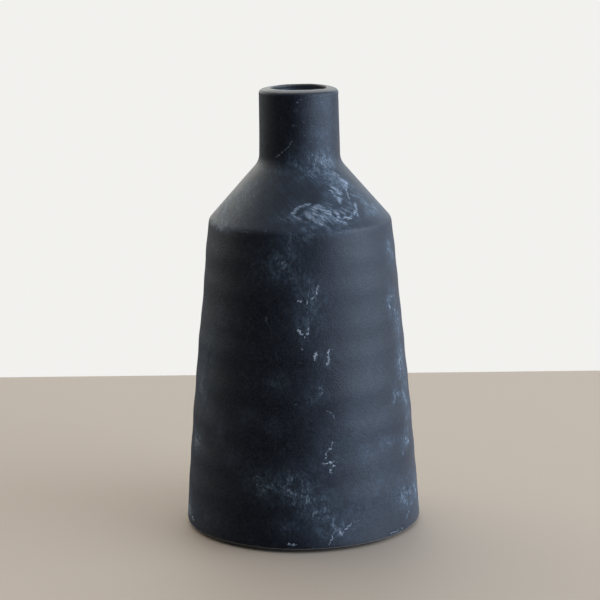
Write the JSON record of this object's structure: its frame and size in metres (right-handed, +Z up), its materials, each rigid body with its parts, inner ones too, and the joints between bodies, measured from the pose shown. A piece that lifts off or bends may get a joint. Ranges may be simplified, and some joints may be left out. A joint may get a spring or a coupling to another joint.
{
  "type": "bottle vase",
  "caption": "Conical stoneware bottle vase with a sloping shoulder and a short straight neck, matte charcoal, on thin felt pads.",
  "frame": {"origin": "centre of the base, on the surface the vase stands on", "axes": "+Z up along the vase's axis, towards the mouth; +X to the right and +Y to the back of the view it was modelled from"},
  "size_m": [0.1348, 0.1348, 0.25],
  "materials": {
    "matte_clay": "matte",
    "slip": "matte",
    "glaze": "gloss",
    "felt": "matte"
  },
  "bodies": {
    "root": {"base_slab": "matte_clay", "base_slip": "slip", "corner_coil": "slip", "body_wall": "matte_clay", "shoulder_slip": "slip", "shoulder": "matte_clay", "neck_slip": "slip", "neck": "matte_clay", "liner_glaze": "glaze", "felt_pads": "felt"}
  },
  "joints": []
}
